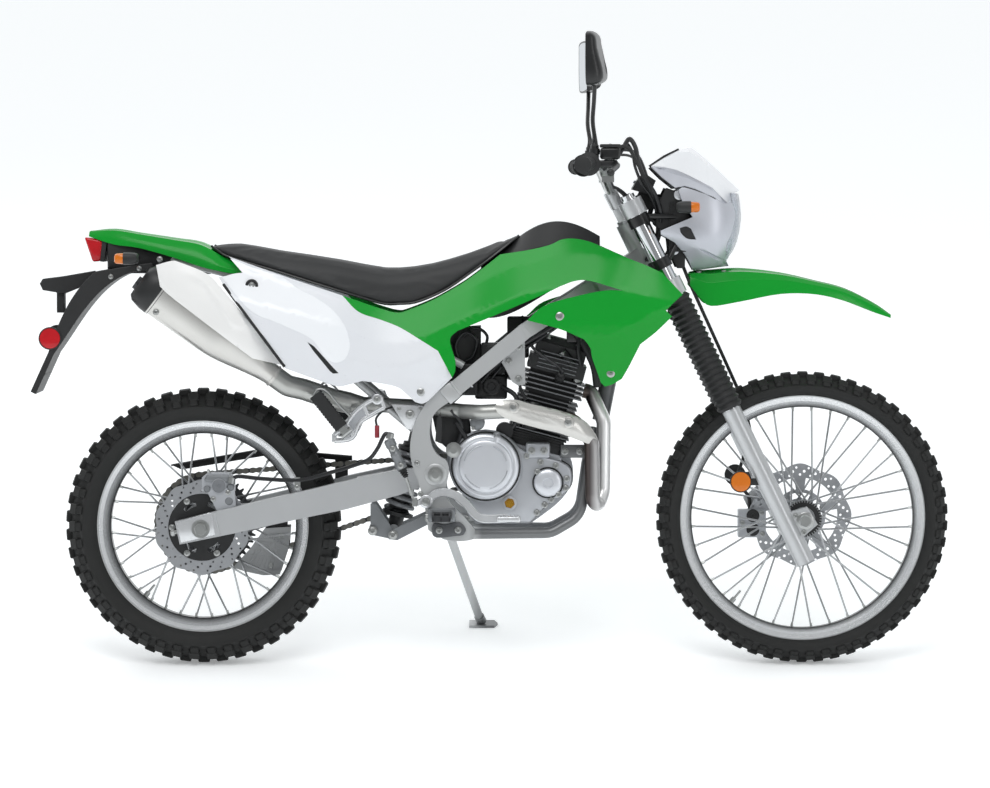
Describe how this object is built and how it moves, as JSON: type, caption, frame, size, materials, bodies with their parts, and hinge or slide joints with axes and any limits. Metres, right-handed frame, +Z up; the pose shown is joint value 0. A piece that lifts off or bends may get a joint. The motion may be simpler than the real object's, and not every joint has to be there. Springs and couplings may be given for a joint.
{
  "type": "dual sport motorcycle",
  "caption": "Light on-and-off-road motorcycle with knobbly spoked wheels, high fenders and finned engine, parked on its side stand.",
  "frame": {"origin": "bottom centre of the parked motorcycle's bounding box, on the ground it stands on", "axes": "+X to the motorcycle's front, +Y to its left, the side it leans to, +Z up from the ground"},
  "size_m": [2.1044, 0.835, 1.4838],
  "materials": {
    "tyre": "black rubber tyre",
    "alloy": "satin alloy",
    "steel": "brushed steel",
    "chrome": "hard chrome",
    "black_metal": "semi-gloss black paint",
    "silver_paint": "satin silver paint",
    "green": "gloss moulded green",
    "white": "gloss moulded white",
    "silver_plastic": "gloss moulded silver",
    "black_plastic": "matt black moulding",
    "rubber": "black rubber",
    "seat_cover": "black seat cover",
    "clear": "clear lens",
    "red": "red lens",
    "orange": "orange lens"
  },
  "bodies": {
    "chassis": {"frame": "silver_paint", "crankcase": "black_metal", "engine_covers": "black_metal", "cylinder": "black_metal", "throttle_body": "rubber", "airbox": "black_plastic", "header_pipe": "steel", "heat_shield": "black_metal", "muffler": "black_metal", "muffler_cap": "black_metal", "swingarm": "alloy", "shock": "steel", "linkage": "alloy", "chain": "steel", "front_sprocket": "steel", "chain_guard": "black_plastic", "seat": "seat_cover", "tank": "black_plastic", "side_panels": "white", "shrouds": "green", "rear_fender": "green", "plate_bracket": "black_plastic", "tail_lamp": "red", "rear_signals": "black_plastic", "rear_lamps": "orange", "rear_caliper": "alloy", "foot_controls": "alloy", "peg_brackets": "alloy"},
    "fork": {"triple_clamps": "alloy", "fork_tubes": "chrome", "fork_boots": "rubber", "fork_sliders": "alloy", "handlebar": "black_metal", "grips": "rubber", "hand_controls": "black_metal", "mirrors": "black_plastic", "headlight_cowl": "silver_plastic", "headlight_lens": "clear", "headlight_bowl": "chrome", "instrument": "black_plastic", "front_signals": "black_plastic", "front_lamps": "orange", "front_fender": "green", "front_caliper": "alloy", "brake_hose": "rubber"},
    "front_wheel": {"front_tyre": "tyre", "front_rim": "alloy", "front_spokes": "steel", "front_disc": "steel"},
    "rear_wheel": {"rear_tyre": "tyre", "rear_rim": "alloy", "rear_spokes": "steel", "rear_disc": "steel", "sprocket": "steel"},
    "side_stand": {"side_stand": "black_metal"},
    "rider_peg_left": {"rider_peg_left": "steel"},
    "rider_peg_right": {"rider_peg_right": "steel"},
    "rear_peg_left": {"rear_peg_left": "rubber"},
    "rear_peg_right": {"rear_peg_right": "rubber"}
  },
  "joints": [
    {"name": "steering", "type": "hinge", "parent": "chassis", "child": "fork", "pos_m": [0.352, -0.04531, 0.92169], "axis": [-0.4399, 0.1637, 0.883], "range_deg": [-45, 45]},
    {"name": "front_wheel_spin", "type": "hinge", "parent": "fork", "child": "front_wheel", "pos_m": [0.71778, -0.15471, 0.33144], "axis": [0, 0.9833, -0.1822], "continuous": true},
    {"name": "rear_wheel_spin", "type": "hinge", "parent": "chassis", "child": "rear_wheel", "pos_m": [-0.66222, -0.15817, 0.31279], "axis": [0, 0.9833, -0.1822], "continuous": true},
    {"name": "stand_fold", "type": "hinge", "parent": "chassis", "child": "side_stand", "pos_m": [-0.10222, -0.00646, 0.26432], "axis": [0.0691, 0.9315, 0.3571], "range_deg": [0, 110]},
    {"name": "rider_peg_left_fold", "type": "hinge", "parent": "chassis", "child": "rider_peg_left", "pos_m": [-0.11122, -0.00252, 0.31851], "axis": [1, 0, 0], "range_deg": [0, 80], "stiffness_Nm_per_rad": 0.4, "springref_deg": -28.65},
    {"name": "rider_peg_right_fold", "type": "hinge", "parent": "chassis", "child": "rider_peg_right", "pos_m": [-0.11122, -0.30143, 0.37391], "axis": [-1, 0, 0], "range_deg": [0, 80], "stiffness_Nm_per_rad": 0.4, "springref_deg": -28.65},
    {"name": "rear_peg_left_fold", "type": "hinge", "parent": "chassis", "child": "rear_peg_left", "pos_m": [-0.32822, 0.02289, 0.50501], "axis": [-0.7848, -0.113, -0.6094], "range_deg": [0, 90]},
    {"name": "rear_peg_right_fold", "type": "hinge", "parent": "chassis", "child": "rear_peg_right", "pos_m": [-0.32822, -0.25832, 0.55713], "axis": [0.7848, 0.113, 0.6094], "range_deg": [0, 90]}
  ]
}
